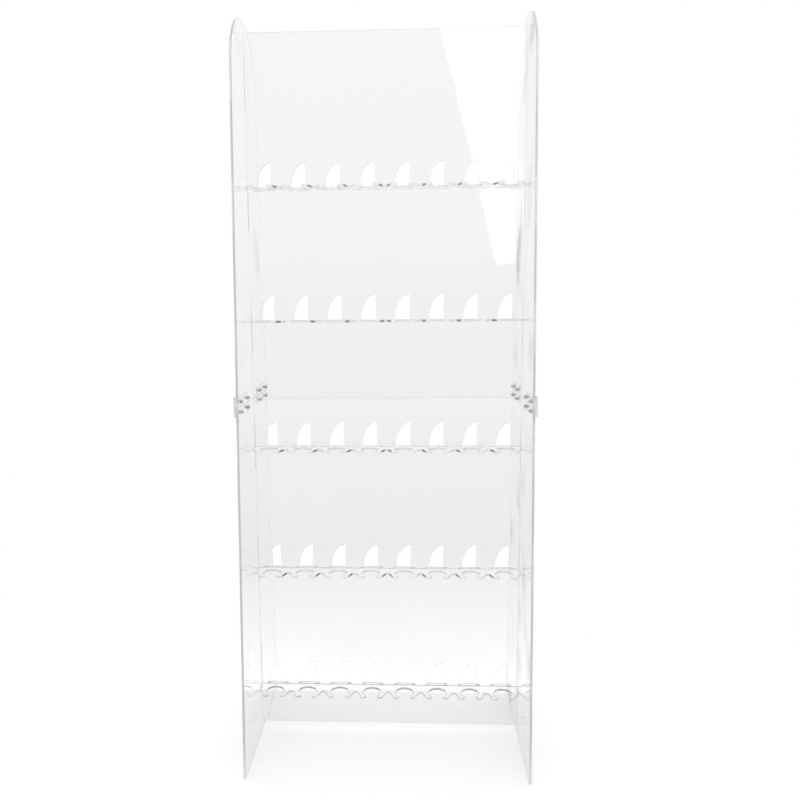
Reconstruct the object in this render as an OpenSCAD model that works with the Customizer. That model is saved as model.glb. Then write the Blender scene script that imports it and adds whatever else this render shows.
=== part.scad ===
// Floor-standing tiered rack of clear acrylic sheet.
// Two arched side panels carry an upright back panel at mid-depth, and five notched shelves hang
// on the front of the back panel by tabs. Sides and back are each made in two halves, and the
// sides are joined at mid-height by bolted splice plates.
// X runs across the rack, Y towards the rear, Z up. The origin lies on the floor below the
// centre of the back panel's front face.

/* [Overall] */
// Clear width between the two side panels
inner_width = 600; // [500:1:700]
// Height of the side panels at the crown of the arch
total_height = 1600; // [1560:1:1700]
// Thickness of every acrylic sheet
sheet = 5; // [4:0.5:6]

/* [Side panels] */
// Depth of a side panel where it stands on the floor
base_depth = 390; // [360:1:420]
// Radius of the arch at the top of a side panel
arch_radius = 118; // [100:1:130]
// Height of the butt joint between the lower and upper halves
joint_height = 795; // [790:1:800]

/* [Back panel] */
// Gap between the floor and the bottom edge of the back panel
floor_gap = 18; // [10:1:24]
// Distance from the arch crowns down to the top edge of the back panel
top_drop = 22; // [15:1:30]
// Length of each tab that enters a side panel
side_tab_length = 105; // [90:1:115]
// Height of the centre of the lowest side tab
side_tab_first = 158; // [150:1:165]
// Spacing of the side tabs
side_tab_pitch = 264; // [260:1:266]

/* [Shelves] */
// Height of the top face of the lowest shelf
first_shelf = 115; // [110:1:125]
// Spacing of the shelves
shelf_pitch = 285; // [280:1:288]
// Number of notches in a shelf
notch_count = 8; // [6:1:8]
// Spacing of the notches
notch_pitch = 75; // [72:1:78]
// Diameter of a notch
notch_d = 41; // [38:1:42]
// Width of the open mouth of a notch
mouth_width = 25; // [22:1:26]
// Distance from the back panel to the nearest point of a notch
notch_setback = 14; // [12:1:15]
// Radius of a prong tip
tip_radius = 6.5; // [5.5:0.5:7]
// Straight length of the mouth between the notch and the prong tip
mouth_straight = 0.8; // [0.5:0.1:2]
// Distance from the back panel to the rounded end of a valley between two prongs
valley_setback = 33; // [31:1:35]
// Radius of the rounded end of a valley
valley_radius = 5.5; // [4.5:0.5:6]
// Width of each shelf tab
shelf_tab_width = 50; // [40:1:56]
// Distance that the shelf tabs stand out behind the back panel
shelf_tab_proud = 5; // [1:1:8]

/* [Fin openings] */
// Width of a fin-shaped opening
fin_width = 33; // [28:1:36]
// Height of a fin-shaped opening
fin_height = 54; // [45:1:60]
// Distance from the notch centre to the straight edge of its fin opening
fin_offset = 15; // [12:1:18]

/* [Splice hardware] */
// Height of a splice plate
plate_height = 42; // [38:1:50]
// Depth of a splice plate from the edge of the side panel
plate_depth = 102; // [96:1:110]
// Distance from the edge of the side panel to the outer bolt column
bolt_edge = 19; // [16:1:22]
// Distance between the two bolt columns
bolt_columns = 67; // [60:1:72]
// Distance between the two bolt rows, which straddle the joint
bolt_rows = 21; // [20:1:26]
// Nominal thread diameter
thread_d = 4; // [3:0.5:5]
// Length of a splice bolt below its head
splice_bolt_length = 16; // [16:1:20]

/* [Corner holes] */
// Diameter of the round hole in each lower corner of the back panel
corner_hole_d = 5; // [3:0.5:6]
// Height of the corner holes above the floor
corner_hole_height = 37; // [32:1:44]
// Distance from a corner hole to the side panel's inner face
corner_hole_inset = 17; // [12:1:20]

/* [Hidden] */

$fn = 48;
clear = [0.86, 0.93, 0.96, 0.45];
steel = [0.62, 0.63, 0.65];

// Running clearances: around a tab in its slot, around a bolt in its hole, at a sheet's end
slot_gap = 0.1;
hole_gap = 0.2;
thread_gap = 0.05;
end_gap = 0.5;
// Extra length that carries a cut past a face
past = 1;
// Depth by which a prong's straight flank ends inside its tip and valley circles
flank_bite = 0.01;

half_width = inner_width / 2;
half_base = base_depth / 2;
arch_z = total_height - arch_radius;
back_top = total_height - top_drop;
butt_gap = 0.1;

// Lean of a side panel's edge, chosen so that the edge is tangent to the arch
edge_lean = acos(arch_radius / norm([half_base, arch_z])) - atan2(arch_z, half_base);
tangent_y = arch_radius * cos(edge_lean);
tangent_z = arch_z + arch_radius * sin(edge_lean);

side_tabs_per_half = 3;

// Prong and valley circles, with u as the distance forward of the back panel
notch_u = notch_setback + notch_d / 2;
mouth_u = notch_u + notch_d / 2 * cos(asin(mouth_width / notch_d));
tip_x = mouth_width / 2 + tip_radius;
tip_u = mouth_u + mouth_straight;
valley_x = notch_pitch / 2;
valley_u = valley_setback + valley_radius;
// The blank behind the prongs ends inside the valley circles
blank_u = valley_u - valley_radius / 2;
// Normal of the straight flank that joins the tip circle and the valley circle
centre_line = [valley_x - tip_x, valley_u - tip_u];
flank_normal = atan2(centre_line[1], centre_line[0])
    + acos((tip_radius + valley_radius) / norm(centre_line));
flank_tip = [
    tip_x + (tip_radius - flank_bite) * cos(flank_normal),
    tip_u + (tip_radius - flank_bite) * sin(flank_normal)
];
flank_root = [
    valley_x - (valley_radius - flank_bite) * cos(flank_normal),
    valley_u - (valley_radius - flank_bite) * sin(flank_normal)
];

// Button-head bolt, washer and nut sizes as multiples of the thread
head_d = 1.9 * thread_d;
head_h = 0.55 * thread_d;
head_crown = 0.15 * thread_d;
socket_af = 0.625 * thread_d;
socket_depth = 0.325 * thread_d;
washer_d = 2.25 * thread_d;
washer_h = 0.2 * thread_d;
nut_af = 1.75 * thread_d;
nut_h = 0.8 * thread_d;
bolt_tip = 0.1 * thread_d;
hex_sides = 6;

function notch_x(i) = (i - (notch_count - 1) / 2) * notch_pitch;
function shelf_top(i) = first_shelf + (i - 1) * shelf_pitch;
function side_tab_z(i) = side_tab_first + i * side_tab_pitch;
function half_depth_at(z) = half_base - z * tan(edge_lean);

// Outline of a whole side panel, drawn with Y to the right and Z up
module side_outline() {
    translate([0, arch_z]) circle(r = arch_radius, $fn = 128);
    polygon([
        [-half_base, 0], [half_base, 0], [tangent_y, tangent_z], [-tangent_y, tangent_z]
    ]);
}

// Places a flat outline drawn in Y and Z as a sheet whose inner face is at |X| = face
module upright(side, face) {
    shift = side > 0 ? face : -face - sheet;
    translate([shift, 0, 0]) rotate([90, 0, 90]) linear_extrude(sheet) children();
}

// Calls its children at the two bolt columns of one splice plate, end -1 front and 1 rear
module at_columns(end) {
    outer = half_depth_at(joint_height) - bolt_edge;
    for (y = [outer, outer - bolt_columns]) translate([end * y, 0]) children();
}

module bolt_holes_2d(z) {
    for (end = [-1, 1])
        translate([0, z]) at_columns(end) circle(d = thread_d + 2 * hole_gap);
}

// Slots for three side tabs of the back panel
module side_slots_2d(first) {
    for (i = [first : first + side_tabs_per_half - 1])
        translate([-slot_gap, side_tab_z(i) - side_tab_length / 2 - slot_gap])
            square([sheet + 2 * slot_gap, side_tab_length + 2 * slot_gap]);
}

module side_lower(side) {
    color(clear) upright(side, half_width) difference() {
        intersection() {
            side_outline();
            translate([-half_base, 0]) square([base_depth, joint_height]);
        }
        side_slots_2d(0);
        bolt_holes_2d(joint_height - bolt_rows / 2);
    }
}

module side_upper(side) {
    color(clear) upright(side, half_width) difference() {
        intersection() {
            side_outline();
            translate([-half_base, joint_height]) square([base_depth, total_height]);
        }
        side_slots_2d(side_tabs_per_half);
        bolt_holes_2d(joint_height + bolt_rows / 2);
    }
}

// Fin: a quarter ellipse with its straight edge on the right and its flat bottom at z = 0
module fin_2d() {
    steps = 20;
    arc = [for (i = [0 : steps]) [-fin_width * sin(90 * i / steps), fin_height * cos(90 * i / steps)]];
    polygon(concat([[-fin_width, -slot_gap - past], [0, -slot_gap - past]], arc));
}

// Slots and fins for one shelf
module shelf_slots_2d(top) {
    for (i = [0 : notch_count - 1]) translate([notch_x(i), top]) {
        translate([-shelf_tab_width / 2 - slot_gap, -sheet - slot_gap])
            square([shelf_tab_width + 2 * slot_gap, sheet + 2 * slot_gap]);
        translate([fin_offset, slot_gap]) fin_2d();
    }
}

// Sheet of the back panel between two heights, with the side tabs and shelves numbered
module back_panel(low, high, first_tab, shelves) {
    color(clear) translate([0, sheet, 0]) rotate([90, 0, 0]) linear_extrude(sheet) difference() {
        union() {
            translate([-half_width, low]) square([inner_width, high - low]);
            for (i = [first_tab : first_tab + side_tabs_per_half - 1])
                translate([-half_width - sheet, side_tab_z(i) - side_tab_length / 2])
                    square([inner_width + 2 * sheet, side_tab_length]);
        }
        for (i = shelves) shelf_slots_2d(shelf_top(i));
        for (side = [-1, 1]) translate([side * (half_width - corner_hole_inset), corner_hole_height])
            circle(d = corner_hole_d);
    }
}

// Prong to the left (-1) or right (1) of a notch centred on x = 0, drawn with u upwards
module prong_2d(side) {
    foot_u = blank_u - past;
    foot_x = valley_x - past;
    right = [
        [mouth_width / 2, foot_u], [foot_x, foot_u], [foot_x, flank_root[1]],
        flank_root, flank_tip, [mouth_width / 2, tip_u]
    ];
    last = len(right) - 1;
    polygon([for (i = [0 : last]) side > 0 ? right[i] : [-right[last - i][0], right[last - i][1]]]);
    translate([side * tip_x, tip_u]) circle(r = tip_radius);
}

module shelf_2d() {
    difference() {
        union() {
            translate([-half_width + end_gap, 0])
                square([inner_width - 2 * end_gap, blank_u]);
            for (i = [0 : notch_count - 1]) translate([notch_x(i), 0]) {
                prong_2d(-1);
                prong_2d(1);
                translate([-shelf_tab_width / 2, -sheet - shelf_tab_proud])
                    square([shelf_tab_width, 2 * sheet + shelf_tab_proud]);
            }
        }
        for (i = [0 : notch_count - 1]) translate([notch_x(i), notch_u]) circle(d = notch_d);
        for (i = [0 : notch_count]) translate([notch_x(i) - valley_x, valley_u])
            circle(r = valley_radius);
    }
}

module shelf(i) {
    color(clear) translate([0, 0, shelf_top(i)]) rotate([180, 0, 0])
        linear_extrude(sheet) shelf_2d();
}

// Rectangle with rounded corners, centred on the origin
module rounded_rectangle(w, h, r) {
    square([w, h - 2 * r], center = true);
    square([w - 2 * r, h], center = true);
    for (x = [-1, 1], y = [-1, 1]) translate([x * (w / 2 - r), y * (h / 2 - r)]) circle(r = r);
}

// The plate's outer edge follows the edge of the side panel
module splice_plate(side, end) {
    corner = 4;
    inner = half_depth_at(joint_height) - plate_depth;
    blank_depth = plate_depth + 4 * corner;
    color(clear) upright(side, half_width + sheet) difference() {
        intersection() {
            side_outline();
            translate([end * (inner + blank_depth / 2), joint_height])
                rounded_rectangle(blank_depth, plate_height, corner);
        }
        for (row = [-1, 1]) translate([0, joint_height + row * bolt_rows / 2])
            at_columns(end) circle(d = thread_d + 2 * hole_gap);
    }
}

// Calls its children at the four bolts of a splice, drawn along +X with X = 0 at |X| = face
module at_splice(side, end, face) {
    outer = half_depth_at(joint_height) - bolt_edge;
    for (y = [outer, outer - bolt_columns], row = [-1, 1])
        translate([side * face, end * y, joint_height + row * bolt_rows / 2])
            mirror([side > 0 ? 0 : 1, 0, 0]) children();
}

// Button-head socket bolt whose head sits on X = 0 and whose shank runs towards -X
module button_bolt(length) {
    rotate([0, 90, 0]) difference() {
        union() {
            translate([0, 0, -length]) cylinder(h = bolt_tip, d1 = thread_d - 2 * bolt_tip, d2 = thread_d);
            translate([0, 0, bolt_tip - length]) cylinder(h = length, d = thread_d);
            cylinder(h = head_crown, d = head_d);
            translate([0, 0, head_crown])
                cylinder(h = head_h - head_crown, d1 = head_d, d2 = head_d / 2);
        }
        translate([0, 0, head_h - socket_depth])
            cylinder(h = head_h, d = socket_af / cos(180 / hex_sides), $fn = hex_sides);
    }
}

module splice_bolts(side, end) {
    color(steel) at_splice(side, end, half_width + 2 * sheet) button_bolt(splice_bolt_length);
}

module splice_washers(side, end) {
    color(steel) at_splice(side, end, half_width) rotate([0, -90, 0]) difference() {
        cylinder(h = washer_h, d = washer_d);
        translate([0, 0, -past]) cylinder(h = washer_h + 2 * past, d = thread_d + 2 * hole_gap);
    }
}

module splice_nuts(side, end) {
    color(steel) at_splice(side, end, half_width - washer_h) rotate([0, -90, 0]) difference() {
        cylinder(h = nut_h, d = nut_af / cos(180 / hex_sides), $fn = hex_sides);
        translate([0, 0, -past]) cylinder(h = nut_h + 2 * past, d = thread_d + 2 * thread_gap);
    }
}

side_lower(-1);  // left_side_lower
side_upper(-1);  // left_side_upper
side_lower(1);  // right_side_lower
side_upper(1);  // right_side_upper
back_panel(floor_gap, joint_height - butt_gap, 0, [1, 2, 3]);  // back_panel_lower
back_panel(joint_height + butt_gap, back_top, side_tabs_per_half, [4, 5]);  // back_panel_upper
shelf(1);  // shelf_1
shelf(2);  // shelf_2
shelf(3);  // shelf_3
shelf(4);  // shelf_4
shelf(5);  // shelf_5
splice_plate(-1, -1);  // splice_plate_left_front
splice_plate(-1, 1);  // splice_plate_left_rear
splice_plate(1, -1);  // splice_plate_right_front
splice_plate(1, 1);  // splice_plate_right_rear
splice_bolts(-1, -1);  // splice_bolts_left_front
splice_bolts(-1, 1);  // splice_bolts_left_rear
splice_bolts(1, -1);  // splice_bolts_right_front
splice_bolts(1, 1);  // splice_bolts_right_rear
splice_washers(-1, -1);  // splice_washers_left_front
splice_washers(-1, 1);  // splice_washers_left_rear
splice_washers(1, -1);  // splice_washers_right_front
splice_washers(1, 1);  // splice_washers_right_rear
splice_nuts(-1, -1);  // splice_nuts_left_front
splice_nuts(-1, 1);  // splice_nuts_left_rear
splice_nuts(1, -1);  // splice_nuts_right_front
splice_nuts(1, 1);  // splice_nuts_right_rear
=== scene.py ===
import math

import bmesh
import bpy
from mathutils import Matrix, Vector
from mathutils.geometry import tessellate_polygon


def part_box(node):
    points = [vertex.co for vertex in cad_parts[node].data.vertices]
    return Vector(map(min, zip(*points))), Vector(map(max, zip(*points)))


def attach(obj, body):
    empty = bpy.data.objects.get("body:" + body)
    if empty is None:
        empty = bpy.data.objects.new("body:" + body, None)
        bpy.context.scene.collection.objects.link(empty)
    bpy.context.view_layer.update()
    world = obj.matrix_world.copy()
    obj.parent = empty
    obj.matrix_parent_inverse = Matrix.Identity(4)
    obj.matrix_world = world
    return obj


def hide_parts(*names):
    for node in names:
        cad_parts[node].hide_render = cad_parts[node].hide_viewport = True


# A floor-standing tiered rack of clear acrylic sheet, photographed on white.
# X runs across the rack, Y to the rear, Z up, all in metres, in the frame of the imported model.

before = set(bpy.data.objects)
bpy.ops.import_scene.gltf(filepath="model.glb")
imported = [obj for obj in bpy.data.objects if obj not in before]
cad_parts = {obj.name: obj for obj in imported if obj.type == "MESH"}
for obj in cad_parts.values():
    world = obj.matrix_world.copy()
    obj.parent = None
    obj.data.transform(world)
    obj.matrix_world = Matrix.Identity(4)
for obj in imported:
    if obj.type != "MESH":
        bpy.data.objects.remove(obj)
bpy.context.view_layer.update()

# ---------------------------------------------------------------- sizes, in metres
SHEET = 0.005            # thickness of every acrylic sheet
AIR = 0.00006            # air gap left on every face that meets another piece
RIM = 0.00035            # rounding of a polished rim
ARCH_RADIUS = 0.118      # arch at the top of a side panel
SLOT_GAP = 0.0001        # clearance of a tab in its slot
SLOT_CORNER = 0.0004     # radius that the laser leaves in a slot's corner
SIDE_TAB_LENGTH = 0.105
SIDE_TAB_FIRST = 0.158   # height of the centre of the lowest side tab
SIDE_TAB_PITCH = 0.264
TABS_PER_HALF = 3
SHELF_COUNT = 5
LOWER_SHELVES = 3        # shelves on the lower half of the back panel
NOTCH_COUNT = 8
NOTCH_PITCH = 0.075
NOTCH_RADIUS = 0.0205
NOTCH_SETBACK = 0.014    # back panel to the nearest point of a notch
MOUTH_WIDTH = 0.025      # opening at the front of a notch
MOUTH_STRAIGHT = 0.0008  # how far a mouth's sides run on before the prong's tip
TIP_RADIUS = 0.0065      # round tip of a prong
VALLEY_SETBACK = 0.033   # back panel to the nearest point of a valley between two prongs
VALLEY_RADIUS = 0.0055
FLANK_MIDDLE = 0.008     # centre of a valley to the middle of the flank beside it
FLANK_REACH = 0.006      # from there to the end of the flank's stretch of painted shade
SHELF_TAB_WIDTH = 0.050
FIN_WIDTH = 0.033
FIN_HEIGHT = 0.054
FIN_OFFSET = 0.015       # notch centre to the straight edge of its fin opening
CORNER_HOLE_RADIUS = 0.0025
CORNER_HOLE_HEIGHT = 0.037
CORNER_HOLE_INSET = 0.017      # side panel's inner face to a corner hole
PLATE_CORNER = 0.004
BOLT_EDGE = 0.019        # side panel's edge to the outer bolt column
BOLT_COLUMNS = 0.067     # distance between a splice's two bolt columns
BOLT_ROWS = 0.021
HOLE_RADIUS = 0.0022     # clearance hole for M4
SPLICE_BOLT_LENGTH = 0.016
THREAD = 0.004           # M4
THREAD_PITCH = 0.0007
THREAD_ROOT = THREAD / 2 - 0.6134 * THREAD_PITCH   # radius at the bottom of the thread
CREST_END, ROOT_START, ROOT_END = 0.125, 0.44, 0.69   # as shares of the thread's pitch
SPARE_TURNS = 2          # turns drawn beyond each end of the thread, which are then cut off
CHAMFER = 0.0003         # how far a bolt's tip stands inside the thread's root
CHAMFER_SLOPE = 1.2      # radius gained per length at the tip
HEAD_RADIUS = 0.0038
HEAD_HEIGHT = 0.0022
HEAD_EDGE = 0.00035      # height at which the head's dome starts
HEAD_FOOT = 0.00008      # height of the bevel where the head rests
STEEL_EASE = 0.00012     # rounding of the edges of steel parts
SOCKET_FLATS = 0.0025
SOCKET_DEPTH = 0.0013
SOCKET_LIP = 0.00002     # depth at which the socket's mouth starts
SOCKET_FOOT = 0.00005    # depth of the bevel round the socket's bottom
SOCKET_CONE = 0.00035    # depth of the drill point below it
MOUTH_SCALE, FOOT_SCALE = 1.1, 0.9    # size of the socket's mouth and foot against its flats
WASHER_RADIUS = 0.0045
WASHER_HEIGHT = 0.0008
WASHER_DISH = 0.00002    # how far the washer's bore is set in from its outer face
NUT_FLATS = 0.007
NUT_HEIGHT = 0.0032
NUT_GAP = 0.00004        # clearance of the nut's bore round the bolt
NUT_LEAD = 0.0003        # bevel at each end of the bore
NUT_FACE = 0.95          # flat face of the nut against its width across flats
NUT_BEVEL = math.radians(30)
HAND_TURN = math.radians(23)   # how much further each fastener is turned than the last
SAME_POINT = 1e-7
LEAST_MITRE = 0.35       # limits how far a sharp corner moves when an outline is moved in

# Fineness of round forms
SEGMENTS = 36
CIRCLE_STEPS = 40
DOME_STEPS = 6
ARCH_STEPS = 96
NOTCH_STEPS = 48
TIP_STEPS = 18
VALLEY_STEPS = 8
FLANK_STEPS = 10
FIN_STEPS = 20
PLATE_CORNER_STEPS = 6
SLOT_CORNER_STEPS = 3
SHEET_SHARP, STEEL_SHARP = 50, 32      # angle in degrees above which an edge is shaded sharp

# Look of the acrylic. A cut edge scatters a share of the light, and the smaller that share, the
# darker the grey base colour it is given:
# the low shares are painted shade, set by place on the edges. The polished faces scatter none.
DEEP_PAINTED_SHADE_EDGE, DARK_PAINTED_SHADE_EDGE, SHELF_EDGE, PALE_EDGE, FAINT_EDGE = 0.05, 0.15, 0.52, 0.66, 0.92
FACE_TINT = (0.998, 0.998, 0.998, 1)
# Base colours of the darkest edges: painted shade
DEEP_PAINTED_SHADE_TINT = (0.12, 0.12, 0.12, 1)
DARK_PAINTED_SHADE_TINT = (0.42, 0.42, 0.42, 1)
EDGE_TINT = (0.90, 0.90, 0.90, 1)
FROST_TINT = (0.95, 0.95, 0.95, 1)
SHADOW_TINT = (0.95, 0.95, 0.95, 1)
INSIDE_TINT = (0.50, 0.50, 0.50, 1)
ABSORPTION = 3.6         # with INSIDE_TINT, 58% of the light is left after 300 mm
ACRYLIC_IOR = 1.49
WAVE_HEIGHT, STRIATION_HEIGHT = 0.0011, 0.00003
SMUDGE_ROUGH, WIPING_ROUGH = 0.018, 0.012
EDGE_ROUGH, STRIATION_ROUGH = 0.06, 0.16
BUMP_STRENGTH = 0.5

# Look of the steel
LINE_SHARE, STAIN_SHARE = 0.35, 0.65   # how much each counts in the colour
STAIN_TINT, PLAIN_TINT = (0.72, 0.72, 0.74), (1, 1, 1.01)
LINE_DEPTH = 0.00002

# Look of the studio. Tones are given by the height of a direction, 0 straight down, 1 straight up.
BACKDROP_TONES = [(0.22, 0.95), (0.28, 0.99), (0.31, 0.91), (0.34, 0.83), (0.37, 0.855),
                  (0.41, 0.865), (0.45, 0.91), (0.5, 0.915), (0.54, 0.95), (0.65, 0.95)]
ROOM_TONES = [(0.3, 0.5), (0.45, 0.12), (0.58, 0.12), (0.75, 0.9)]
ROOM_END, BACKDROP_START = 0.35, 0.6   # 0.5 for a direction to the side, more for the rear
WHITE = (1, 1, 1, 1)
FLOOR_SPREAD = 6         # how far the floor runs to the front and to the sides
FLOOR_REAR = 0.45
FLOOR_PAINT = (0.8, 0.8, 0.8, 1)
FLOOR_GLOW = 0.25        # light that the floor adds where the camera sees it directly
FLOOR_LIFT = 0.15        # the same where it is seen through the acrylic
WALL_START = 0.176       # distance behind the back panel at which the floor turns into the backdrop
WALL_LIFT, WALL_FALL = 0.30, 0.51      # light added there, and how much less per metre behind it
SENSOR, LENS = 36, 33.81               # in millimetres
LENS_SHIFT = (0.028, -0.0038)
EYE = (0.0525, -1.6673, 1.0126)
YAW, PITCH, ROLL = math.radians(-2.502), math.radians(7.355), math.radians(-0.487)

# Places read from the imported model
side_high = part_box("left_side_lower")[1]
upper_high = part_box("left_side_upper")[1]
back_low, back_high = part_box("back_panel_lower")
back_upper_low, back_upper_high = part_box("back_panel_upper")
HALF_WIDTH = -side_high.x              # centre line to a side panel's inner face
HALF_BASE = side_high.y
JOINT = side_high.z
TOP = upper_high.z


# ---------------------------------------------------------------- flat outlines
def arc(centre, radius, start, end, steps):
    """Points on an arc from start to end degrees, both ends included."""
    angles = [math.radians(start + (end - start) * i / steps) for i in range(steps + 1)]
    return [(centre[0] + radius * math.cos(a), centre[1] + radius * math.sin(a)) for a in angles]


def circle(centre, radius):
    return arc(centre, radius, 0, 360, CIRCLE_STEPS)[:-1]


def slot(x0, y0, x1, y1):
    """A rectangle with rounded corners, counter-clockwise."""
    r, steps = SLOT_CORNER, SLOT_CORNER_STEPS
    return (arc((x1 - r, y0 + r), r, -90, 0, steps) + arc((x1 - r, y1 - r), r, 0, 90, steps)
            + arc((x0 + r, y1 - r), r, 90, 180, steps) + arc((x0 + r, y0 + r), r, 180, 270, steps))


def between(start, end, steps):
    """Points that divide the straight line from start to end, without its ends."""
    return [tuple(a + (b - a) * i / steps for a, b in zip(start, end)) for i in range(1, steps)]


def area_of(loop):
    """The area inside the loop, negative if it runs clockwise."""
    return sum(a[0] * b[1] - b[0] * a[1] for a, b in zip(loop, loop[1:] + loop[:1])) / 2


def without_repeats(loop):
    """The loop without points that coincide with the point before them."""
    return [p for p, q in zip(loop, loop[-1:] + loop[:-1]) if math.dist(p, q) > SAME_POINT]


def moved_in(loop, distance):
    """The loop with each edge moved to its left by distance."""
    moved = []
    for before, here, after in zip(loop[-1:] + loop[:-1], loop, loop[1:] + loop[:1]):
        d1 = (Vector(here) - Vector(before)).normalized()
        d2 = (Vector(after) - Vector(here)).normalized()
        n1, n2 = Vector((-d1.y, d1.x)), Vector((-d2.y, d2.x))
        bisector = (n1 + n2).normalized()
        reach = distance / max(bisector.dot(n1), LEAST_MITRE)
        moved.append((here[0] + bisector.x * reach, here[1] + bisector.y * reach))
    return moved


# ---------------------------------------------------------------- mesh building
def new_piece(name, node, mesh_parts, material, sharp_angle):
    """A piece that stands for a CAD node. mesh_parts are vertices, faces, a texture coordinate for
    each corner, in metres on the surface, and the share of light that each face scatters, which on
    edges also sets their painted shade."""
    vertices, faces, uvs, scatter_and_painted_shade = mesh_parts
    mesh = bpy.data.meshes.new(name)
    mesh.from_pydata(vertices, [], faces)
    layer = mesh.uv_layers.new(name="Surface")
    layer.data.foreach_set("uv", [value for face in uvs for uv in face for value in uv])
    mesh.attributes.new("scatter_and_painted_shade", "FLOAT", "FACE").data.foreach_set("value", scatter_and_painted_shade)
    mesh.materials.append(material)
    work = bmesh.new()
    work.from_mesh(mesh)
    bmesh.ops.remove_doubles(work, verts=work.verts, dist=SAME_POINT)
    bmesh.ops.dissolve_degenerate(work, edges=work.edges, dist=SAME_POINT)
    work.to_mesh(mesh)
    work.free()
    mesh.shade_smooth()
    mesh.set_sharp_from_angle(angle=math.radians(sharp_angle))
    piece = bpy.data.objects.new(name, mesh)
    bpy.context.scene.collection.objects.link(piece)
    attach(piece, "root")
    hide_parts(node)
    return piece


def pale_edge(u, v):
    return PALE_EDGE


def sheet_piece(name, node, outline, holes, place, material, edge_at=pale_edge,
                hole_edge=SHELF_EDGE):
    """A flat sheet with rounded rims. place turns (u, v, w) into X, Y, Z, with w from 0 to the
    sheet's thickness, and keeps handedness, so that faces point outwards. edge_at gives the share
    of light that the outline's edge scatters at (u, v), and hole_edge that of every hole. A low
    share paints the edge dark: painted shade."""
    loops = []
    for loop, wanted in [(outline, 1)] + [(hole, -1) for hole in holes]:
        loop = without_repeats(loop)
        if area_of(loop) * wanted < 0:
            loop = loop[::-1]
        loops.append(moved_in(loop, AIR))
    low, high = AIR, SHEET - AIR
    part = RIM * (1 - math.sqrt(0.5))      # the rim's rounding at 45 degrees
    rings = [(RIM, low), (part, low + part), (0, low + RIM),
             (0, high - RIM), (part, high - part), (RIM, high)]
    vertices, faces, uvs, scatter_and_painted_shade = [], [], [], []
    low_index, high_index, rim_loops = [], [], []
    for loop in loops:
        first, count = len(vertices), len(loop)
        for inset, w in rings:
            vertices += [place(u, v, w) for u, v in moved_in(loop, inset)]
        run = [0]
        scatter_and_shade = []
        for p, q in zip(loop, loop[1:] + loop[:1]):
            run.append(run[-1] + math.dist(p, q))
            middle = ((p[0] + q[0]) / 2, (p[1] + q[1]) / 2)
            scatter_and_shade.append(hole_edge if first else edge_at(*middle))
        scatter_and_painted_shade += scatter_and_shade * (len(rings) - 1)
        for k in range(len(rings) - 1):
            a, b = first + k * count, first + (k + 1) * count
            w0, w1 = rings[k][1], rings[k + 1][1]
            for i in range(count):
                j = (i + 1) % count
                faces.append((a + i, a + j, b + j, b + i))
                uvs.append(((run[i], w0), (run[i + 1], w0), (run[i + 1], w1), (run[i], w1)))
        rim_loops.append([Vector((u, v, 0)) for u, v in moved_in(loop, RIM)])
        low_index += range(first, first + count)
        high_index += range(first + (len(rings) - 1) * count, first + len(rings) * count)
    flat_points = [p for loop in rim_loops for p in loop]
    for a, b, c in tessellate_polygon(rim_loops):
        if (flat_points[b] - flat_points[a]).cross(flat_points[c] - flat_points[a]).z < 0:
            b, c = c, b
        for index, order in ((low_index, (a, c, b)), (high_index, (a, b, c))):
            faces.append([index[i] for i in order])
            uvs.append([flat_points[i].xy for i in order])
            scatter_and_painted_shade.append(0.0)
    piece = new_piece(name, node, (vertices, faces, uvs, scatter_and_painted_shade), material,
                      SHEET_SHARP)
    on_edge = [share.value >= DEEP_PAINTED_SHADE_EDGE / 2 for share in piece.data.attributes["scatter_and_painted_shade"].data]
    for polygon, smooth in zip(piece.data.polygons, on_edge):
        polygon.use_smooth = smooth


def lathe(rings, closed=False):
    """Vertices, faces and texture coordinates of a form turned about X. A ring is (x, radius), and
    either may be a function of the angle. A closed form is a ring, and an open one ends in tips."""
    def value(v, angle):
        return v(angle) if callable(v) else v

    vertices, faces, uvs = [], [], []
    angles = [2 * math.pi * i / SEGMENTS for i in range(SEGMENTS)]
    for x, radius in rings:
        for angle in angles:
            r = value(radius, angle)
            vertices.append((value(x, angle), r * math.cos(angle), r * math.sin(angle)))
    run = [0]
    profile = [(value(x, 0), value(r, 0)) for x, r in rings]
    for p, q in zip(profile, profile[1:] + profile[:1]):
        run.append(run[-1] + math.dist(p, q))
    wide = math.pi * THREAD / SEGMENTS
    for k in range(len(rings) - (0 if closed else 1)):
        a, b = k * SEGMENTS, (k + 1) % len(rings) * SEGMENTS
        for i in range(SEGMENTS):
            j = (i + 1) % SEGMENTS
            faces.append((a + i, b + i, b + j, a + j))
            u0, u1 = wide * i, wide * (i + 1)
            uvs.append(((u0, run[k]), (u0, run[k + 1]), (u1, run[k + 1]), (u1, run[k])))
    return vertices, faces, uvs


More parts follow.
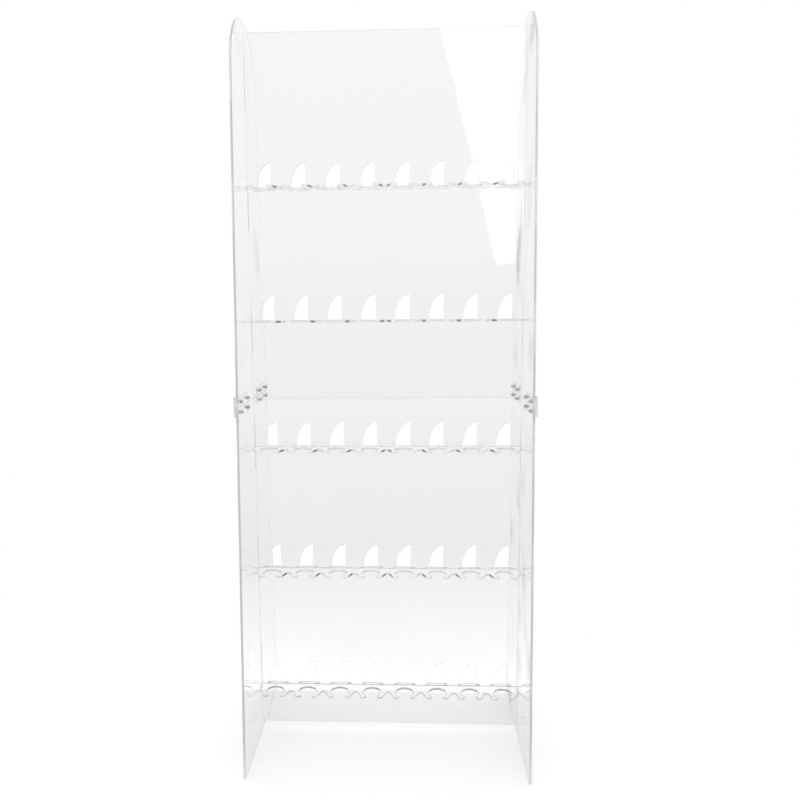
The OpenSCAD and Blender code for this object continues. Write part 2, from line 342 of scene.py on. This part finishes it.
def thread(length):
    """A threaded shank from x = -length to x = 0, with a chamfered end, open at x = 0."""
    crest, root = THREAD / 2, THREAD_ROOT
    tip = root - CHAMFER
    shape = [(0, crest), (CREST_END, crest), (ROOT_START, root), (ROOT_END, root)]
    turns = math.ceil(length / THREAD_PITCH) + 2 * SPARE_TURNS
    vertices, faces, uvs = [], [], []
    for turn in range(turns):
        for phase, radius in shape:
            for i in range(SEGMENTS):
                x = THREAD_PITCH * (turn - SPARE_TURNS + phase + i / SEGMENTS) - length
                limit = tip + (x + length) * CHAMFER_SLOPE
                if x <= -length:
                    x, r = -length, tip
                elif x >= 0:
                    x, r = 0, root
                else:
                    r = min(radius, limit)
                angle = 2 * math.pi * i / SEGMENTS
                vertices.append((x, r * math.cos(angle), r * math.sin(angle)))
    rows, wide = turns * len(shape), math.pi * THREAD / SEGMENTS
    for row in range(rows - 1):
        for i in range(SEGMENTS):
            j = (i + 1) % SEGMENTS
            skip = len(shape) if i == SEGMENTS - 1 else 0
            if row + skip + 1 >= rows:
                continue
            quad = ((row, i), (row + 1, i), (row + skip + 1, j), (row + skip, j))
            face = tuple(r * SEGMENTS + c for r, c in quad)
            faces.append(face)
            uvs.append(tuple((wide * (i + (c != i)), vertices[corner][0])
                             for corner, (r, c) in zip(face, quad)))
    centre = len(vertices)
    vertices.append((-length, 0, 0))
    for i in range(SEGMENTS):
        faces.append((centre, i, (i + 1) % SEGMENTS))
        uvs.append(((0, 0), (wide, 0), (wide, THREAD / 2)))
    return vertices, faces, uvs


def hexagon(across_flats, scale=1.0):
    """The radius of a regular hexagon as a function of the angle."""
    step = 2 * math.pi / 6
    return lambda angle: scale * across_flats / 2 / math.cos((angle + step / 2) % step - step / 2)


def joined(*parts):
    """One list each of vertices, faces and texture coordinates."""
    vertices, faces, uvs = [], [], []
    for part_vertices, part_faces, part_uvs in parts:
        first = len(vertices)
        vertices += part_vertices
        faces += [tuple(first + i for i in face) for face in part_faces]
        uvs += part_uvs
    return vertices, faces, uvs


def hardware_piece(name, node, form, places, material):
    """Copies of one form at several places, each turned a little further about its own axis."""
    copies = []
    for number, (centre, outward) in enumerate(places):
        turn = Matrix.Rotation(HAND_TURN * (number + 1), 4, "X")
        flip = Matrix.Rotation(math.pi if outward < 0 else 0, 4, "Z")
        put = Matrix.Translation(centre) @ flip @ turn
        vertices, faces, uvs = form
        copies.append(([put @ Vector(v) for v in vertices], faces, uvs))
    vertices, faces, uvs = joined(*copies)
    piece = new_piece(name, node, (vertices, faces, uvs, [0.0] * len(faces)), material,
                      STEEL_SHARP)
    work = bmesh.new()
    work.from_mesh(piece.data)
    bmesh.ops.recalc_face_normals(work, faces=work.faces)
    work.to_mesh(piece.data)
    work.free()


# ---------------------------------------------------------------- hardware forms
def button_bolt(length):
    """A button-head socket bolt: the head sits on x = 0 and the shank runs towards -x."""
    edge_x, top_x, edge_r, top_r = HEAD_EDGE, HEAD_HEIGHT, HEAD_RADIUS, HEAD_RADIUS / 2
    middle = (edge_x ** 2 + edge_r ** 2 - top_x ** 2 - top_r ** 2) / (2 * (edge_x - top_x))
    ball = math.hypot(edge_x - middle, edge_r)
    start, end = math.atan2(edge_r, edge_x - middle), math.atan2(top_r, top_x - middle)
    dome = []
    for i in range(DOME_STEPS + 1):
        a = start + (end - start) * i / DOME_STEPS
        dome.append((middle + ball * math.cos(a), ball * math.sin(a)))
    bottom = HEAD_HEIGHT - SOCKET_DEPTH
    rings = ([(0, THREAD_ROOT), (0, HEAD_RADIUS - STEEL_EASE), (HEAD_FOOT, HEAD_RADIUS)] + dome + [
        (HEAD_HEIGHT - SOCKET_LIP, hexagon(SOCKET_FLATS, MOUTH_SCALE)),
        (HEAD_HEIGHT - STEEL_EASE, hexagon(SOCKET_FLATS)),
        (bottom, hexagon(SOCKET_FLATS)),
        (bottom - SOCKET_FOOT, hexagon(SOCKET_FLATS, FOOT_SCALE)),
        (bottom - SOCKET_CONE, 0)])
    return joined(thread(length), lathe(rings))


def washer():
    """A stamped washer from x = 0 to x = -WASHER_HEIGHT, with the rounded side outwards."""
    h, inner, outer, edge = WASHER_HEIGHT, HOLE_RADIUS, WASHER_RADIUS, STEEL_EASE
    return lathe([(-WASHER_DISH, inner + edge), (0, outer - edge), (-edge, outer),
                  (edge / 2 - h, outer), (-h, outer - edge / 2), (-h, inner + edge),
                  (edge - h, inner), (-edge, inner)], closed=True)


def nut():
    """A hexagonal nut from x = 0 to x = -NUT_HEIGHT, with its corners cut back at 30 degrees."""
    wall = hexagon(NUT_FLATS)
    bore, lead = THREAD / 2 + NUT_GAP, NUT_LEAD
    face_radius = NUT_FLATS / 2 * NUT_FACE

    def drop(angle):
        return (wall(angle) - face_radius) * math.tan(NUT_BEVEL)

    return lathe([(0, bore + lead), (0, face_radius), (lambda a: -drop(a), wall),
                  (lambda a: drop(a) - NUT_HEIGHT, wall), (-NUT_HEIGHT, face_radius),
                  (-NUT_HEIGHT, bore + lead), (lead - NUT_HEIGHT, bore), (-lead, bore)],
                 closed=True)


# ---------------------------------------------------------------- materials
class Nodes:
    """A material's or world's node tree, cleared, with short calls to add and join nodes."""

    def __init__(self, owner):
        owner.use_nodes = True
        self.tree = owner.node_tree
        self.tree.nodes.clear()

    def add(self, kind, settings=None, **inputs):
        node = self.tree.nodes.new(kind)
        for key, setting in (settings or {}).items():
            setattr(node, key, setting)
        for key, value in inputs.items():
            self.put(node.inputs[key.replace("_", " ")], value)
        return node

    def put(self, socket, value):
        if isinstance(value, bpy.types.NodeSocket):
            self.tree.links.new(value, socket)
        else:
            socket.default_value = value

    def math(self, operation, *values):
        node = self.add("ShaderNodeMath", {"operation": operation})
        for socket, value in zip(node.inputs, values):
            self.put(socket, value)
        return node.outputs[0]

    def scaled(self, value, factor):
        return self.math("MULTIPLY", value, factor)

    def mix(self, factor, a, b, kind="FLOAT"):
        """A number or colour, a where factor is 0 and b where it is 1."""
        node = self.add("ShaderNodeMix", {"data_type": kind}, Factor=factor, A=a, B=b)
        return node.outputs["Result"]

    def blend(self, factor, first, second):
        """A shader, first where factor is 0 and second where it is 1."""
        node = self.add("ShaderNodeMixShader", Fac=factor)
        self.put(node.inputs[1], first.outputs[0])
        self.put(node.inputs[2], second.outputs[0])
        return node

    def surface(self):
        """The texture coordinate that the pieces carry, in metres on the surface."""
        return self.add("ShaderNodeUVMap", {"uv_map": "Surface"}).outputs[0]

    def ramp(self, factor, stops):
        """A colour by factor. A stop is a position with a grey tone or a colour."""
        node = self.add("ShaderNodeValToRGB", Fac=factor)
        elements = node.color_ramp.elements
        while len(elements) < len(stops):
            elements.new(0.5)
        for element, (position, tone) in zip(elements, stops):
            element.position = position
            element.color = tone if isinstance(tone, tuple) else (tone, tone, tone, 1)
        return node.outputs["Color"]

    def noise(self, vector, scale, detail, stretch=(1, 1, 1)):
        mapped = self.add("ShaderNodeMapping", Vector=vector, Scale=stretch)
        node = self.add("ShaderNodeTexNoise", Vector=mapped.outputs[0], Scale=scale, Detail=detail)
        return node.outputs["Fac"]


def clear_acrylic():
    """Cast acrylic sheet: clear polished faces, and laser-cut edges that scatter part of the light,
    each as much as the mesh's attribute says. Where the attribute is low, the edge gets a dark grey
    base colour: painted shade."""
    material = bpy.data.materials.new("clear_acrylic")
    n = Nodes(material)
    surface = n.surface()
    scatter_and_painted_shade = n.add("ShaderNodeAttribute", {"attribute_name": "scatter_and_painted_shade"}).outputs["Fac"]
    cut = n.math("GREATER_THAN", scatter_and_painted_shade, DEEP_PAINTED_SHADE_EDGE / 2)

    # Faces: a faint long waviness, hand smudges and fine wiping marks
    waves = n.noise(surface, scale=5, detail=1)
    smudges = n.ramp(n.noise(surface, scale=14, detail=5), [(0.45, 0.0), (0.75, 1.0)])
    wiping = n.ramp(n.noise(surface, scale=60, detail=4, stretch=(1, 7, 1)),
                    [(0.55, 0.0), (0.72, 1.0)])
    face_rough = n.math("ADD", n.scaled(smudges, SMUDGE_ROUGH), n.scaled(wiping, WIPING_ROUGH))
    # Edges: fine striations that the laser leaves across the thickness
    striations = n.noise(surface, scale=900, detail=2, stretch=(1, 0.06, 1))
    edge_rough = n.math("ADD", n.scaled(striations, STRIATION_ROUGH), EDGE_ROUGH)
    rough = n.mix(cut, face_rough, edge_rough)
    height = n.mix(cut, n.scaled(waves, WAVE_HEIGHT), n.scaled(striations, STRIATION_HEIGHT))
    bump = n.add("ShaderNodeBump", Height=height, Strength=BUMP_STRENGTH, Distance=1.0)
    # Edges with a low share get a dark grey base colour: painted shade
    tint = n.ramp(scatter_and_painted_shade, [(0.0, FACE_TINT), (DEEP_PAINTED_SHADE_EDGE, DEEP_PAINTED_SHADE_TINT), (DARK_PAINTED_SHADE_EDGE, DARK_PAINTED_SHADE_TINT),
                            (SHELF_EDGE, EDGE_TINT)])
    glass = n.add("ShaderNodeBsdfPrincipled", Base_Color=tint, Roughness=rough, IOR=ACRYLIC_IOR,
                  Transmission_Weight=1.0, Normal=bump.outputs[0])
    frost = n.blend(0.5, n.add("ShaderNodeBsdfDiffuse", Color=FROST_TINT, Normal=bump.outputs[0]),
                    n.add("ShaderNodeBsdfTranslucent", Color=FROST_TINT, Normal=bump.outputs[0]))
    sheet = n.blend(scatter_and_painted_shade, glass, frost)
    passing = n.add("ShaderNodeBsdfTransparent", Color=SHADOW_TINT)
    both = n.blend(n.add("ShaderNodeLightPath").outputs["Is Shadow Ray"], sheet, passing)
    inside = n.add("ShaderNodeVolumeAbsorption", Color=INSIDE_TINT, Density=ABSORPTION)
    n.add("ShaderNodeOutputMaterial", Surface=both.outputs[0], Volume=inside.outputs[0])
    return material


def steel(name, tone, rough_low, rough_high, line_bump):
    """Stainless steel with fine turned lines and small stains."""
    material = bpy.data.materials.new(name)
    n = Nodes(material)
    place = n.add("ShaderNodeTexCoord").outputs["Object"]
    lines = n.noise(n.surface(), scale=2500, detail=3, stretch=(0.05, 1, 1))
    stains = n.noise(place, scale=350, detail=4)
    shade = n.math("ADD", n.scaled(lines, LINE_SHARE), n.scaled(stains, STAIN_SHARE))
    stained, plain = ((*(tone * part for part in tint), 1) for tint in (STAIN_TINT, PLAIN_TINT))
    colour = n.ramp(shade, [(0.3, stained), (0.7, plain)])
    rough = n.ramp(stains, [(0.35, rough_low), (0.7, rough_high)])
    bump = n.add("ShaderNodeBump", Height=lines, Strength=line_bump, Distance=LINE_DEPTH)
    metal = n.add("ShaderNodeBsdfPrincipled", Base_Color=colour, Roughness=rough, Metallic=1.0,
                  Normal=bump.outputs[0])
    n.add("ShaderNodeOutputMaterial", Surface=metal.outputs[0])
    return material


# ---------------------------------------------------------------- the rack's sheets
ARCH_Z = TOP - ARCH_RADIUS
# Angle between a side panel's sloping edges and the vertical
LEAN = math.acos(ARCH_RADIUS / math.hypot(HALF_BASE, ARCH_Z)) - math.atan2(ARCH_Z, HALF_BASE)


def half_depth(z):
    """Half the depth of a side panel at a height below the arch."""
    return HALF_BASE - z * math.tan(LEAN)


# Distances of the two bolt columns of each splice from the middle of the side panel
COLUMNS = (half_depth(JOINT) - BOLT_EDGE, half_depth(JOINT) - BOLT_EDGE - BOLT_COLUMNS)
BOLT_HEIGHTS = (JOINT - BOLT_ROWS / 2, JOINT + BOLT_ROWS / 2)


def side_holes(first_tab, row_z):
    """Slots for three side tabs, and four bolt holes of the splices."""
    holes = []
    for i in range(first_tab, first_tab + TABS_PER_HALF):
        z, half = SIDE_TAB_FIRST + i * SIDE_TAB_PITCH, SIDE_TAB_LENGTH / 2 + SLOT_GAP
        holes.append(slot(-SLOT_GAP, z - half, SHEET + SLOT_GAP, z + half))
    for end in (-1, 1):
        holes += [circle((end * y, row_z), HOLE_RADIUS) for y in COLUMNS]
    return holes


def upright_place(side, face):
    """(u, v, w) to Y, Z and X for a sheet whose inner face is at |X| = face."""
    start = face if side > 0 else -face - SHEET
    return lambda u, v, w: (start + w, u, v)


def side_panels(word, side, material):
    place = upright_place(side, HALF_WIDTH)
    joint_half = half_depth(JOINT)
    lower = [(-HALF_BASE, 0), (HALF_BASE, 0), (joint_half, JOINT), (-joint_half, JOINT)]
    holes = side_holes(0, BOLT_HEIGHTS[0])
    sheet_piece(f"acrylic_side_{word}_lower", f"{word}_side_lower", lower, holes, place, material)
    lean = math.degrees(LEAN)
    upper = ([(-joint_half, JOINT), (joint_half, JOINT)]
             + arc((0, ARCH_Z), ARCH_RADIUS, lean, 180 - lean, ARCH_STEPS))
    holes = side_holes(TABS_PER_HALF, BOLT_HEIGHTS[1])
    sheet_piece(f"acrylic_side_{word}_upper", f"{word}_side_upper", upper, holes, place, material)


def notch_x(i):
    """Where the middle of a notch is, from the left."""
    return (i - (NOTCH_COUNT - 1) / 2) * NOTCH_PITCH


def fin_hole(x, top):
    """The slot for one shelf tab, with the fin-shaped opening that rises from it."""
    half, low, high = SHELF_TAB_WIDTH / 2 + SLOT_GAP, top - SHEET - SLOT_GAP, top + SLOT_GAP
    right = x + FIN_OFFSET
    curve = [(right - FIN_WIDTH * math.sin(a), high + FIN_HEIGHT * math.cos(a))
             for a in (math.pi / 2 * i / FIN_STEPS for i in range(FIN_STEPS + 1))]
    return ([(x - half, low), (x + half, low), (x + half, high), (right, high)] + curve
            + [(x - half, high)])


def tab_painted_shade(u, v):
    """The back panel's tabs are painted dark where they sit in the side panels' slots: painted
    shade between the parts.
    """
    return DARK_PAINTED_SHADE_EDGE if abs(u) > HALF_WIDTH else PALE_EDGE


def back_panel(name, node, low, high, first_tab, tops, round_holes, material):
    """One half of the back panel, from height low to high. tops are the tops of its shelves."""
    right = [(HALF_WIDTH, low)]
    for i in range(first_tab, first_tab + TABS_PER_HALF):
        z, half = SIDE_TAB_FIRST + i * SIDE_TAB_PITCH, SIDE_TAB_LENGTH / 2
        right += [(HALF_WIDTH, z - half), (HALF_WIDTH + SHEET, z - half),
                  (HALF_WIDTH + SHEET, z + half), (HALF_WIDTH, z + half)]
    right.append((HALF_WIDTH, high))
    outline = right + [(-x, z) for x, z in reversed(right)]
    holes = [fin_hole(notch_x(i), top) for top in tops for i in range(NOTCH_COUNT)]
    holes += [circle(centre, CORNER_HOLE_RADIUS) for centre in round_holes]
    sheet_piece(name, node, outline, holes, lambda u, v, w: (u, SHEET - w, v), material,
                tab_painted_shade, PALE_EDGE)


def shelf_outline(half_length, tab_end):
    """A shelf seen from above. The front edge is drawn with u as the distance in front of the back
    panel: each notch stands between two round-tipped prongs, with a round valley between prongs."""
    notch_u = NOTCH_SETBACK + NOTCH_RADIUS
    opening = math.degrees(math.acos(MOUTH_WIDTH / 2 / NOTCH_RADIUS))
    tip_u = notch_u + NOTCH_RADIUS * math.sin(math.radians(opening)) + MOUTH_STRAIGHT
    tip_x = MOUTH_WIDTH / 2 + TIP_RADIUS
    valley_x, valley_u = NOTCH_PITCH / 2, VALLEY_SETBACK + VALLEY_RADIUS
    across, along = valley_x - tip_x, valley_u - tip_u
    normal = math.degrees(math.atan2(along, across)
                          + math.acos((TIP_RADIUS + VALLEY_RADIUS) / math.hypot(across, along)))
    end_angle = math.degrees(math.asin((NOTCH_COUNT * valley_x - half_length) / VALLEY_RADIUS))
    front = [(-half_length, 0)]
    for i in range(NOTCH_COUNT):
        x = notch_x(i)
        start = 270 + end_angle if i == 0 else 270
        front += arc((x - valley_x, valley_u), VALLEY_RADIUS, start, 360 - normal, VALLEY_STEPS)
        tip = arc((x - tip_x, tip_u), TIP_RADIUS, 180 - normal, 0, TIP_STEPS)
        front += between(front[-1], tip[0], FLANK_STEPS) + tip
        front += arc((x, notch_u), NOTCH_RADIUS, 180 - opening, 360 + opening, NOTCH_STEPS)
        front += arc((x + tip_x, tip_u), TIP_RADIUS, 180, normal, TIP_STEPS)
        end = 270 - end_angle if i == NOTCH_COUNT - 1 else 270
        valley = arc((x + valley_x, valley_u), VALLEY_RADIUS, 180 + normal, end, VALLEY_STEPS)
        front += between(front[-1], valley[0], FLANK_STEPS) + valley
    front.append((half_length, 0))
    rear = []
    for i in reversed(range(NOTCH_COUNT)):
        x, half = notch_x(i), SHELF_TAB_WIDTH / 2
        rear += [(x + half, 0), (x + half, tab_end), (x - half, tab_end), (x - half, 0)]
    return [(x, -u) for x, u in front] + rear


def painted_shelf_edge_shade(number):
    """Painted shade on a shelf's edge, given as the share of light that it scatters at a place. The
    rear edge, against the back panel, is painted dark on all but the top shelf. On the lowest shelf
    the rear of each notch is painted dark. On the others, a stretch of painted shade lies on the
    flank of each valley that is further from the rack's middle, and on both flanks of the middle
    valley."""
    # Painted shade along the rear edge, where the shelf meets the back panel
    rear_painted_shade = {1: DARK_PAINTED_SHADE_EDGE, SHELF_COUNT: SHELF_EDGE}.get(number, DEEP_PAINTED_SHADE_EDGE)

    def edge_at(u, v):
        if v > -SHEET:
            return rear_painted_shade
        # On the lowest shelf the rear of each notch is painted dark: painted shade
        if number == 1:
            return DARK_PAINTED_SHADE_EDGE if -v < NOTCH_SETBACK + NOTCH_RADIUS / 2 else PALE_EDGE
        # Painted shade on the outer flank of each valley, strongest in the flank's middle; the
        # other flank is pale
        valley = round(u / NOTCH_PITCH) * NOTCH_PITCH
        beside = u - valley
        if beside * valley < 0:
            return FAINT_EDGE
        shade = 2 * (1 - abs(abs(beside) - FLANK_MIDDLE) / FLANK_REACH)
        return FAINT_EDGE + (DEEP_PAINTED_SHADE_EDGE - FAINT_EDGE) * min(1, max(0, shade))
    return edge_at


def shelf(number, material):
    low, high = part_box(f"shelf_{number}")
    outline = shelf_outline(high.x, high.y)
    sheet_piece(f"acrylic_shelf_{number}", f"shelf_{number}", outline, [],
                lambda u, v, w: (u, v, low.z + w), material, painted_shelf_edge_shade(number))


def splice_plate(word, side, end_word, end, material):
    node = f"splice_plate_{word}_{end_word}"
    low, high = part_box(node)
    inner = min(abs(low.y), abs(high.y))
    r = PLATE_CORNER
    outline = ([(half_depth(low.z), low.z), (half_depth(high.z), high.z)]
               + arc((inner + r, high.z - r), r, 90, 180, PLATE_CORNER_STEPS)
               + arc((inner + r, low.z + r), r, 180, 270, PLATE_CORNER_STEPS))
    holes = [circle((y, z), HOLE_RADIUS) for y in COLUMNS for z in BOLT_HEIGHTS]
    outline, *holes = [[(end * y, z) for y, z in loop] for loop in [outline] + holes]
    sheet_piece(f"acrylic_{node}", node, outline, holes, upright_place(side, HALF_WIDTH + SHEET),
                material)


def splice_hardware(word, side, end_word, end, bolts, washers, nuts):
    at = f"{word}_{end_word}"
    for kind, form, face, material in (
            ("bolts", button_bolt(SPLICE_BOLT_LENGTH), HALF_WIDTH + 2 * SHEET, bolts),
            ("washers", washer(), HALF_WIDTH, washers),
            ("nuts", nut(), HALF_WIDTH - WASHER_HEIGHT, nuts)):
        places = [((side * face, end * y, z), side) for y in COLUMNS for z in BOLT_HEIGHTS]
        hardware_piece(f"steel_splice_{kind}_{at}", f"splice_{kind}_{at}",
                       form, places, material)


def build_rack():
    acrylic = clear_acrylic()
    bolts = steel("steel_bolt", tone=0.62, rough_low=0.22, rough_high=0.38, line_bump=0.25)
    washers = steel("steel_washer", tone=0.66, rough_low=0.28, rough_high=0.45, line_bump=0.15)
    nuts = steel("steel_nut", tone=0.60, rough_low=0.25, rough_high=0.42, line_bump=0.3)
    numbers = range(1, SHELF_COUNT + 1)
    tops = [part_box(f"shelf_{number}")[1].z for number in numbers]
    corners = [(side * (HALF_WIDTH - CORNER_HOLE_INSET), CORNER_HOLE_HEIGHT) for side in (-1, 1)]
    back_panel("acrylic_back_panel_lower", "back_panel_lower", back_low.z, back_high.z,
               0, tops[:LOWER_SHELVES], corners, acrylic)
    back_panel("acrylic_back_panel_upper", "back_panel_upper", back_upper_low.z, back_upper_high.z,
               TABS_PER_HALF, tops[LOWER_SHELVES:], [], acrylic)
    for number in numbers:
        shelf(number, acrylic)
    for word, side in (("left", -1), ("right", 1)):
        side_panels(word, side, acrylic)
        for end_word, end in (("front", -1), ("rear", 1)):
            splice_plate(word, side, end_word, end, acrylic)
            splice_hardware(word, side, end_word, end, bolts, washers, nuts)


# ---------------------------------------------------------------- studio
def studio_world():
    """White behind the rack. What shows through the acrylic is a pale grey backdrop, lighter at the
    top and at its foot, and what the acrylic mirrors is a dim room in front."""
    world = bpy.data.worlds.new("studio")
    bpy.context.scene.world = world
    n = Nodes(world)
    direction = n.add("ShaderNodeTexCoord").outputs["Generated"]
    parts = n.add("ShaderNodeSeparateXYZ", Vector=direction)
    height = n.math("MULTIPLY_ADD", parts.outputs["Z"], 0.5, 0.5)
    backdrop = n.ramp(height, BACKDROP_TONES)
    room = n.ramp(height, ROOM_TONES)
    rearward = n.math("ADD", parts.outputs["Y"], 0.5)
    behind = n.ramp(rearward, [(ROOM_END, 0.0), (BACKDROP_START, 1.0)])
    path = n.add("ShaderNodeLightPath").outputs
    mirrored = n.mix(behind, room, backdrop, "RGBA")
    seen = n.mix(path["Is Reflection Ray"], backdrop, mirrored, "RGBA")
    plain = n.math("MAXIMUM", path["Is Camera Ray"], path["Is Diffuse Ray"])
    background = n.add("ShaderNodeBackground", Color=n.mix(plain, seen, WHITE, "RGBA"))
    n.add("ShaderNodeOutputWorld", Surface=background.outputs[0])


def turned(place, right, up, back):
    """The matrix of a light or camera at a place, by its right, up and backward directions."""
    axes = Matrix((right, up, back)).transposed()
    return Matrix.LocRotScale(place, axes.to_quaternion(), None)


def softbox(name, corner, across, up, wide, tall, radiance):
    """A rectangular softbox that stands on corner and spreads along across and up."""
    light = bpy.data.lights.new(name, "AREA")
    light.shape = "RECTANGLE"
    light.size, light.size_y = wide, tall
    light.energy = radiance * math.pi * wide * tall
    lamp = bpy.data.objects.new(name, light)
    across, up = Vector(across).normalized(), Vector(up).normalized()
    middle = Vector(corner) + across * wide / 2 + up * tall / 2
    lamp.matrix_world = turned(middle, across, up, across.cross(up))
    bpy.context.scene.collection.objects.link(lamp)


def floor():
    """A plain white floor. Where it is seen through the acrylic, its front part is a little darker
    than where the camera sees it directly, and its rear part passes into the grey backdrop."""
    mesh = bpy.data.meshes.new("floor")
    x, front, rear = FLOOR_SPREAD, -FLOOR_SPREAD, FLOOR_REAR
    corners = [(-x, front, 0), (x, front, 0), (x, rear, 0), (-x, rear, 0)]
    mesh.from_pydata(corners, [], [(0, 1, 2, 3)])
    plane = bpy.data.objects.new("floor", mesh)
    bpy.context.scene.collection.objects.link(plane)
    material = bpy.data.materials.new("floor_white")
    n = Nodes(material)
    straight = n.add("ShaderNodeLightPath").outputs["Is Camera Ray"]
    paint = n.add("ShaderNodeBsdfDiffuse", Color=FLOOR_PAINT)
    place = n.add("ShaderNodeTexCoord").outputs["Object"]
    depth = n.add("ShaderNodeSeparateXYZ", Vector=place).outputs["Y"]
    on_wall = n.math("GREATER_THAN", depth, WALL_START)
    fall = n.scaled(n.math("SUBTRACT", depth, WALL_START), WALL_FALL)
    through = n.mix(on_wall, FLOOR_LIFT, n.math("SUBTRACT", WALL_LIFT, fall))
    glow = n.add("ShaderNodeEmission", Color=WHITE, Strength=n.mix(straight, through, FLOOR_GLOW))
    both = n.add("ShaderNodeAddShader")
    n.put(both.inputs[0], paint.outputs[0])
    n.put(both.inputs[1], glow.outputs[0])
    n.add("ShaderNodeOutputMaterial", Surface=both.outputs[0])
    mesh.materials.append(material)


def camera():
    """The photo's viewpoint, with the picture's middle a little off the lens axis."""
    data = bpy.data.cameras.new("camera")
    data.sensor_width, data.lens = SENSOR, LENS
    data.shift_x, data.shift_y = LENS_SHIFT
    level = math.cos(PITCH)
    ahead = Vector((math.sin(YAW) * level, math.cos(YAW) * level, -math.sin(PITCH)))
    right = Vector((math.cos(YAW), -math.sin(YAW), 0))
    up = right.cross(ahead)
    rolled_right = math.cos(ROLL) * right + math.sin(ROLL) * up
    rolled_up = math.cos(ROLL) * up - math.sin(ROLL) * right
    eye = bpy.data.objects.new("camera", data)
    eye.matrix_world = turned(Vector(EYE), rolled_right, rolled_up, -ahead)
    bpy.context.scene.collection.objects.link(eye)
    bpy.context.scene.camera = eye


camera()
build_rack()
studio_world()
floor()
softbox("window_softbox", corner=(0.492, -2.2, 1.182), across=(0.971, 0, 0.2375),
        up=(-0.2375, 0, 0.971), wide=0.7, tall=1.5, radiance=3.0)
softbox("left_softbox", corner=(-2.6, -1.8, 0.9), across=(0.5, -0.85, 0),
        up=(0, 0, 1), wide=1.2, tall=1.4, radiance=1.6)
bpy.context.scene.view_settings.view_transform = "Standard"
